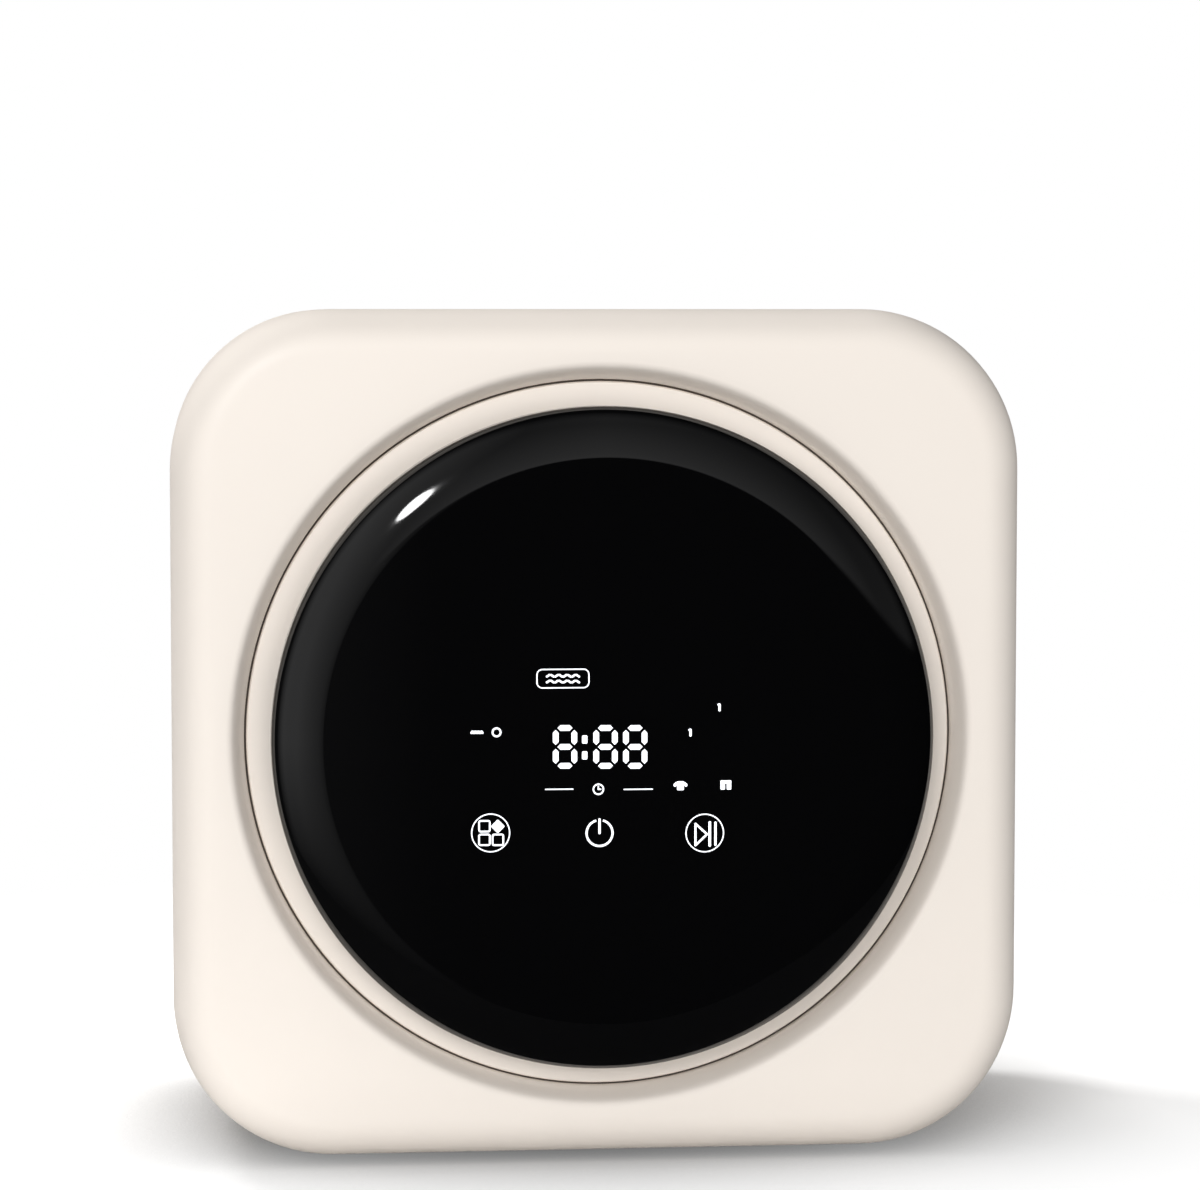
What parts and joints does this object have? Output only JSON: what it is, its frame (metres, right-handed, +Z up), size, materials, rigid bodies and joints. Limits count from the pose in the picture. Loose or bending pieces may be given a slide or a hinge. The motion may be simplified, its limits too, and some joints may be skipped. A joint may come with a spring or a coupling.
{
  "type": "wall mounted washing machine",
  "caption": "Compact wall mounted front loading washing machine with a rounded square casing, a domed black round door, a drum, a belt drive and a wall bracket.",
  "frame": {"origin": "centre of the bounding box at its bottom, on the plane that the feet stand on", "axes": "+Z up, +X to the right as seen from the front, +Y towards the wall, so the door faces -Y"},
  "size_m": [0.4, 0.28, 0.401],
  "materials": {
    "casing": "satin cream moulding",
    "door_black": "high gloss black",
    "white_plastic": "fine satin",
    "clear_dome": "clear moulding",
    "gasket_rubber": "matt grey rubber",
    "black_rubber": "matt black rubber",
    "foot_rubber": "matt pale rubber",
    "stainless": "bright stainless",
    "zinc_steel": "zinc plated",
    "cast_pulley": "die cast",
    "tub_plastic": "moulded",
    "motor_metal": "painted",
    "circuit_board": "solder mask"
  },
  "bodies": {
    "housing": {"front_shell": "casing", "rear_shell": "casing", "recess_panel": "casing", "wall_bracket": "zinc_steel", "rear_frame": "zinc_steel", "foot_front_left": "foot_rubber", "foot_front_right": "foot_rubber", "foot_rear_left": "foot_rubber", "foot_rear_right": "foot_rubber", "housing_screw_1": "zinc_steel", "housing_screw_2": "zinc_steel", "housing_screw_3": "zinc_steel", "housing_screw_4": "zinc_steel", "cord_gland": "black_rubber", "door_lock": "white_plastic", "hinge_bracket": "stainless", "hinge_pin": "stainless", "hinge_screw_1": "stainless", "hinge_screw_2": "stainless", "hinge_screw_3": "stainless", "hinge_screw_4": "stainless", "tub_front": "tub_plastic", "tub_rear": "tub_plastic", "door_gasket": "gasket_rubber", "gasket_clamp": "zinc_steel", "front_bearing": "stainless", "rear_bearing": "stainless", "shaft_seal": "black_rubber", "drive_motor": "motor_metal", "drive_belt": "black_rubber", "inlet_valve": "white_plastic", "fill_hose": "black_rubber", "drain_pump": "tub_plastic", "sump_hose": "black_rubber", "control_board": "white_plastic"},
    "drum": {"drum_shell": "stainless", "spider_plate": "stainless", "lifter_1": "tub_plastic", "lifter_2": "tub_plastic", "lifter_3": "tub_plastic", "spider_screw_1": "stainless", "spider_screw_2": "stainless", "spider_screw_3": "stainless", "drum_shaft": "stainless", "drum_pulley": "cast_pulley"},
    "motor": {"motor_pulley": "zinc_steel"},
    "door": {"door_panel": "door_black", "door_frame": "white_plastic", "door_dome": "clear_dome", "display_board": "circuit_board", "hinge_arm": "stainless", "door_screw_1": "stainless", "door_screw_2": "stainless", "door_screw_3": "stainless", "door_screw_4": "stainless", "door_screw_5": "stainless", "door_screw_6": "stainless"},
    "latch": {"latch_lever": "white_plastic", "latch_pin": "stainless"}
  },
  "joints": [
    {"name": "door_hinge", "type": "hinge", "parent": "housing", "child": "door", "pos_m": [-0.133, -0.12, 0.202], "axis": [0, 0, -1], "range_deg": [0, 110]},
    {"name": "latch_pivot", "type": "hinge", "parent": "door", "child": "latch", "pos_m": [0.1395, -0.112, 0.202], "axis": [0, 0, -1], "range_deg": [0, 10], "stiffness_Nm_per_rad": 0.3},
    {"name": "drum_spin", "type": "hinge", "parent": "housing", "child": "drum", "pos_m": [0, 0, 0.202], "axis": [0, -1, 0], "continuous": true},
    {"name": "motor_spin", "type": "hinge", "parent": "housing", "child": "motor", "pos_m": [0.13435, 0.1, 0.06765], "axis": [0, -1, 0], "continuous": true}
  ],
  "couplings": [
    {"joint": "motor_spin", "follows": "drum_spin", "ratio": 8.3333}
  ]
}
